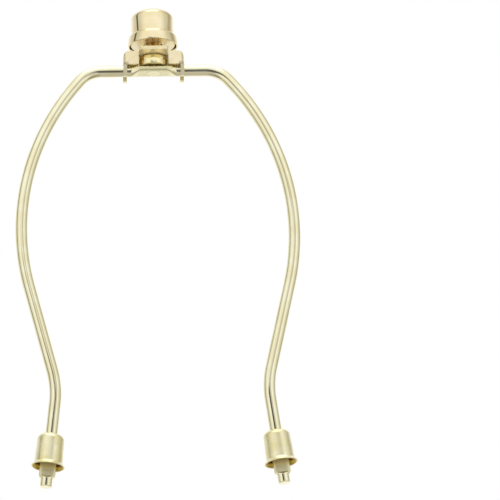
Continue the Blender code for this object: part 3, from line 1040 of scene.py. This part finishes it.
def thread_tree(sizes):
    """Geometry Nodes: a thread's ridge, swept along a right-hand helix and faded at both ends."""
    tree = bpy.data.node_groups.new("screw thread", "GeometryNodeTree")
    tree.is_modifier = True
    tree.interface.new_socket("Geometry", in_out="INPUT", socket_type="NodeSocketGeometry")
    for name in sizes:
        tree.interface.new_socket(name, in_out="INPUT", socket_type="NodeSocketFloat")
    tree.interface.new_socket("Material", in_out="INPUT", socket_type="NodeSocketMaterial")
    tree.interface.new_socket("Geometry", in_out="OUTPUT", socket_type="NodeSocketGeometry")
    made = Nodes(tree)
    given = made.add("NodeGroupInput").outputs
    spiral = made.add("GeometryNodeCurveSpiral")
    made.set(spiral, Resolution=THREAD_STEPS, Reverse=True)
    made.link(made.maths("DIVIDE", given["Length"], given["Pitch"]), spiral.inputs["Rotations"])
    centre = made.maths("SUBTRACT", given["Crest Radius"], made.maths("MULTIPLY", given["Depth"], 0.5))
    made.link(centre, spiral.inputs["Start Radius"])
    made.link(centre, spiral.inputs["End Radius"])
    made.link(given["Length"], spiral.inputs["Height"])
    upright = made.add("GeometryNodeSetCurveNormal", mode="Z_UP")
    made.link(spiral.outputs["Curve"], upright.inputs["Curve"])
    position = made.add("GeometryNodeSplineParameter").outputs["Factor"]
    from_end = made.maths("MINIMUM", position, made.maths("SUBTRACT", 1.0, position))
    fade = made.add("ShaderNodeMapRange")
    made.set(fade, From_Max=THREAD_FADE)
    made.link(from_end, fade.inputs["Value"])
    thinned = made.add("GeometryNodeSetCurveRadius")
    made.link(upright.outputs["Curve"], thinned.inputs["Curve"])
    made.link(fade.outputs["Result"], thinned.inputs["Radius"])
    ridge = made.add("GeometryNodeCurvePrimitiveQuadrilateral", mode="TRAPEZOID")
    made.set(ridge, Offset=0)
    made.link(given["Depth"], ridge.inputs["Height"])
    made.link(given["Pitch"], ridge.inputs["Bottom Width"])
    made.link(given["Crest"], ridge.inputs["Top Width"])
    outwards = made.add("GeometryNodeTransform")
    made.set(outwards, Rotation=(0, 0, THREAD_TURN))
    made.link(ridge.outputs["Curve"], outwards.inputs["Geometry"])
    sweep = made.add("GeometryNodeCurveToMesh")
    made.set(sweep, Fill_Caps=True)
    made.link(thinned.outputs["Curve"], sweep.inputs["Curve"])
    made.link(outwards.outputs["Geometry"], sweep.inputs["Profile Curve"])
    realize = made.add("GeometryNodeRealizeInstances")
    made.link(sweep.outputs["Mesh"], realize.inputs["Geometry"])
    finish = made.add("GeometryNodeSetMaterial")
    made.link(realize.outputs["Geometry"], finish.inputs["Geometry"])
    made.link(given["Material"], finish.inputs["Material"])
    made.link(finish.outputs["Geometry"], made.add("NodeGroupOutput").inputs["Geometry"])
    return tree


def make_thread(low, high):
    """The stud's thread as a plain mesh, from its low end to its high end above the wire's centre line."""
    sizes = {
        "Pitch": THREAD_PITCH,
        "Length": high - low,
        "Crest Radius": THREAD_D / 2,
        "Depth": THREAD_DEPTH,
        "Crest": THREAD_CREST,
    }
    tree = thread_tree(sizes)
    given = {**sizes, "Material": thread_brass}
    thread = linked("stud_thread", bpy.data.meshes.new("stud_thread"))
    step = thread.modifiers.new("thread", "NODES")
    step.node_group = tree
    for item in tree.interface.items_tree:
        if item.in_out == "INPUT" and item.name in given:
            step[item.identifier] = given[item.name]
    settle(thread)
    smooth(thread.data)
    return moved(thread, Matrix.Translation((0, 0, HARP_HEIGHT + low)))


def make_stud():
    """Barrel between the wire and the web, shank up through the web, tail riveted flush under the wire."""
    flat = TOP_FLAT_THICKNESS / 2 + GAP
    barrel_top = WEB_UNDERSIDE - GAP
    top = WEB_TOP + STUD_ABOVE_WEB
    head = RIVET_HEAD_D / 2
    core = THREAD_D / 2 - THREAD_DEPTH
    barrel = BARREL_D / 2 - BARREL_ROUND
    under = -TOP_FLAT_THICKNESS / 2
    outline = [(0, top), (core - STUD_CHAMFER, top), (core, top - STUD_CHAMFER), (core, barrel_top)]
    outline += arc((barrel, barrel_top - BARREL_ROUND), BARREL_ROUND, 90, 0, ROUND_STEPS)
    outline += arc((barrel, flat + BARREL_ROUND), BARREL_ROUND, 0, -90, ROUND_STEPS)
    outline += [(TAIL_D / 2, flat), (TAIL_D / 2, head - TAIL_D / 2 + under), (head, under)]
    outline += [(RIVET_HOLLOW_SHARE * head, under + RIVET_HOLLOW_EDGE), (0, under + RIVET_HOLLOW)]
    stud = turned("swivel_stud", outline, stud_brass)
    mark_inside(stud, lambda co: co.z < 0)
    moved(stud, Matrix.Translation((0, 0, HARP_HEIGHT)))
    thread = make_thread(WEB_UNDERSIDE, top - STUD_CHAMFER / 2)
    bpy.context.view_layer.update()
    with bpy.context.temp_override(active_object=stud, selected_editable_objects=[stud, thread]):
        bpy.ops.object.join()
    return stud


# Making the finial

def finial_outline(inset):
    """The cap's side from its top centre down to the top of its foot, moved in by inset.

    The crown is a ball's cap, and the fillet that leads it into the side touches both.
    """
    body = FINIAL_BODY_D / 2
    foot_top = FINIAL_FOOT_D / 2 - FINIAL_FOOT_FLARE
    fillet = FINIAL_TOP_FILLET
    side_top = FINIAL_HEIGHT - FINIAL_DOME
    reach = body - fillet
    crown = (reach**2 + FINIAL_DOME**2 - fillet**2) / (2 * (FINIAL_DOME - fillet))
    slope = math.degrees(math.asin(reach / (crown - fillet)))
    points = [(0, FINIAL_HEIGHT - inset)]
    points += arc((0, FINIAL_HEIGHT - crown), crown - inset, 90, 90 - slope)[1:]
    points += arc((reach, side_top), fillet - inset, 90 - slope, 0)[1:]
    cove_top = FINIAL_FOOT_HEIGHT + FINIAL_COVE_HEIGHT - inset / 2
    for step in range(FILLET_STEPS + 1):
        share = step / FILLET_STEPS
        radius = body + (foot_top - body) * ramp(share, 0, 1) - inset
        points.append((radius, cove_top - FINIAL_COVE_HEIGHT * share))
    return points


def mark_inside(piece, inside):
    """Marks a drawn piece's inner wall, on which the finish paints shade, and likewise the stud's riveted
    end, which the finish gives the plate's own tone.
    """
    layer = piece.data.attributes.new(INSIDE_MARK, "FLOAT", "POINT")
    layer.data.foreach_set("value", [1.0 if inside(vert.co) else 0.0 for vert in piece.data.vertices])


def lathe_drawn(name, outer, inner, material, place):
    """A drawn piece from its outer and inner side; the points made from inner are marked as its inside,
    where the finish paints shade.
    """
    piece = turned(name, outer + inner, material)

    def rounded(radius, height):
        return round(radius, SAME_DIGITS), round(height, SAME_DIGITS)

    bound = {rounded(*point) for point in inner}
    mark_inside(piece, lambda co: rounded(math.hypot(co.x, co.y), co.z) in bound)
    return moved(piece, place)


def make_finial():
    """A drawn cap with a threaded ring pressed in from below."""
    lip = FINIAL_WALL / 2
    foot = FINIAL_FOOT_D / 2
    outer = finial_outline(0) + arc((foot - lip, lip), lip, 0, -180, LIP_STEPS)
    inner = finial_outline(FINIAL_WALL)[::-1]
    place = Matrix.Translation((0, 0, HARP_HEIGHT + WEB_TOP + FINIAL_ABOVE_WEB))
    cap = lathe_drawn("finial_cap_drawn", outer, inner, finial_plate, place)
    bore = THREAD_D / 2 + GAP
    flange = foot - FINIAL_FOOT_FLARE / 2 - FINIAL_WALL - GAP
    hub = INSERT_HUB_D / 2
    shoulder = INSERT_RECESS + INSERT_FLANGE
    top = INSERT_RECESS + INSERT_HEIGHT
    cut = INSERT_CHAMFER
    outline = [(bore, top), (hub - cut, top), (hub, top - cut), (hub, shoulder), (flange - cut, shoulder)]
    outline += [(flange, shoulder - cut), (flange, INSERT_RECESS + cut), (flange - cut, INSERT_RECESS)]
    outline += [(bore + cut, INSERT_RECESS), (bore, INSERT_RECESS + cut)]
    insert = turned("finial_insert_ring", outline, turned_brass, place)
    return cap, insert


# Making the locking sleeves

def make_sleeve(name, way):
    """A drawn sleeve with a rolled rim, hanging on its leg with its top hole on the paddle's shoulder."""
    hole = WIRE_D / 2 + SLEEVE_PLAY
    wall = SLEEVE_WALL
    top = SLEEVE_TOP_D / 2
    body = SLEEVE_BODY_D / 2
    rim = SLEEVE_RIM_D / 2
    lip = wall / 2
    centre = (top - SLEEVE_SHOULDER, SLEEVE_LENGTH - SLEEVE_SHOULDER)
    shares = [step / FILLET_STEPS for step in range(FILLET_STEPS + 1)]
    flare = [(body + (rim - body) * s * s, lip + (SLEEVE_RIM_FLARE - lip) * (1 - s)) for s in shares]
    outer = arc((hole + lip, SLEEVE_LENGTH - lip), lip, 180, 90, ROUND_STEPS)
    outer += arc(centre, SLEEVE_SHOULDER, 90, 0) + flare
    outer += arc((rim - lip, lip), lip, 0, -180, LIP_STEPS)[1:-1]
    inner = [(radius - wall, height) for radius, height in flare[::-1]]
    inner += arc(centre, SLEEVE_SHOULDER - wall, 0, 90)
    inner += arc((hole + lip, SLEEVE_LENGTH - lip), lip, 270, 180, ROUND_STEPS)[:-1]
    height = STUB_LENGTH + PADDLE_LENGTH + SLEEVE_WALL - SLEEVE_LENGTH
    spot = (way * (FOOT_HALF_SPREAD - height * math.sin(FOOT_SPLAY)), 0, height * math.cos(FOOT_SPLAY))
    place = Matrix.Translation(spot) @ Matrix.Rotation(-way * FOOT_SPLAY, 4, "Y")
    return lathe_drawn(name, outer, inner, sleeve_plate, place)


# The pieces, each in the place of its CAD node

def carry(piece, body, node):
    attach(piece, body)
    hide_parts(node)


carry(make_wire(), "harp", "harp_wire")
carry(make_bracket(), "harp", "top_bracket")
carry(make_stud(), "stud", "threaded_stud")
finial_cap, finial_insert = make_finial()
carry(finial_cap, "finial_cap", "finial_shell")
carry(finial_insert, "finial_thread", "finial_insert")
carry(make_sleeve("left_sleeve_drawn", -1), "left_sleeve", "left_ferrule")
carry(make_sleeve("right_sleeve_drawn", 1), "right_sleeve", "right_ferrule")


# The studio

def make_floor():
    """A floor far below the harp, which the camera sees as plain white."""
    form = bmesh.new()
    bmesh.ops.create_grid(form, x_segments=1, y_segments=1, size=FLOOR_HALF)
    made = Finish("white floor")
    made.set(made.shader, Base_Color=(*FLOOR_TONE, 1), Roughness=FLOOR_ROUGHNESS)
    path = made.add("ShaderNodeLightPath")
    direct = made.maths("MAXIMUM", path.outputs["Is Camera Ray"], path.outputs["Is Glossy Ray"])
    direct = made.maths("MAXIMUM", direct, path.outputs["Is Transmission Ray"])
    made.show(direct, made.shader, made.add("ShaderNodeEmission"))
    floor = object_of("floor", form, made.material)
    moved(floor, Matrix.Translation((0, 0, FLOOR_HEIGHT)))
    floor.visible_glossy = False


class Sky(Nodes):
    """The world, with the same short calls."""

    def __init__(self, name):
        world = bpy.data.worlds.new(name)
        world.use_nodes = True
        super().__init__(world.node_tree)
        bpy.context.scene.world = world


def make_studio():
    """A white tent. The metal also sees its opening, its greyer sides, a seam and the dim ground below."""
    sky = Sky("white studio")
    x, y, z = sky.axes(sky.add("ShaderNodeTexCoord").outputs["Generated"])
    azimuth = sky.maths("ARCTAN2", x, sky.maths("MULTIPLY", y, -1.0))
    azimuth = sky.maths("MULTIPLY", azimuth, math.degrees(1))
    elevation = sky.maths("MULTIPLY", sky.maths("ARCSINE", z), math.degrees(1))
    from_front = sky.maths("ABSOLUTE", azimuth)
    low = sky.falling(elevation, *SIDES_UP)
    darker = [
        (sky.product(sky.zone(azimuth, *OPENING_ROUND), sky.zone(elevation, *OPENING_UP)), OPENING_DEPTH),
        (sky.product(sky.zone(from_front, *SIDES_ROUND), low), SIDES_DEPTH),
        (sky.product(sky.zone(azimuth, *LEFT_SEAM_ROUND), low), LEFT_SEAM_DEPTH),
        (sky.product(sky.zone(azimuth, *RIGHT_SIDE_ROUND), low), RIGHT_SIDE_DEPTH),
        (sky.falling(elevation, *GROUND_UP), GROUND_DEPTH),
    ]
    colour = WHITE
    for mask, depth in darker:
        left = sky.mixed(mask, WHITE, tuple(1 - share for share in depth))
        colour = sky.mixed(1.0, colour, left, blend="MULTIPLY")
    path = sky.add("ShaderNodeLightPath")
    shown = sky.mixed(path.outputs["Is Camera Ray"], colour, WHITE)
    sky.link(shown, sky.tree.nodes["Background"].inputs["Color"])


def make_card():
    """A dark card with soft edges in front of the harp, which only reflections show."""
    form = bmesh.new()
    corners = [(-1, -1), (1, -1), (1, 1), (-1, 1)]
    form.faces.new([form.verts.new((CARD_HALF * x, CARD_AT, CARD_HALF * z)) for x, z in corners])
    made = Finish("dark card")
    x, _, z = made.axes(made.objects())
    core = made.product(made.zone(x, *CORE_ACROSS), made.zone(z, *CORE_UP), CORE_OPACITY)
    column = made.product(
        made.zone(x, *COLUMN_ACROSS),
        made.zone(z, *COLUMN_UP),
        made.graded(x, *COLUMN_FADE, *COLUMN_OPACITY),
    )
    clear = made.add("ShaderNodeBsdfTransparent")
    black = made.add("ShaderNodeEmission")
    made.set(black, Strength=0.0)
    made.show(made.maths("MAXIMUM", core, column), clear, black)
    card = object_of("dark card", form, made.material)
    card.visible_camera = False
    card.visible_diffuse = False
    card.visible_shadow = False
    card.visible_transmission = False


def make_softbox():
    data = bpy.data.lights.new("top softbox", "AREA")
    data.size = SOFTBOX_SIZE
    data.energy = SOFTBOX_POWER
    softbox = bpy.data.objects.new("top softbox", data)
    softbox.location = SOFTBOX_PLACE
    softbox.rotation_euler = (softbox.location - VIEW_AIM).to_track_quat("Z", "Y").to_euler()
    bpy.context.scene.collection.objects.link(softbox)


make_floor()
make_studio()
make_card()
make_softbox()
bpy.context.scene.view_settings.view_transform = "Standard"
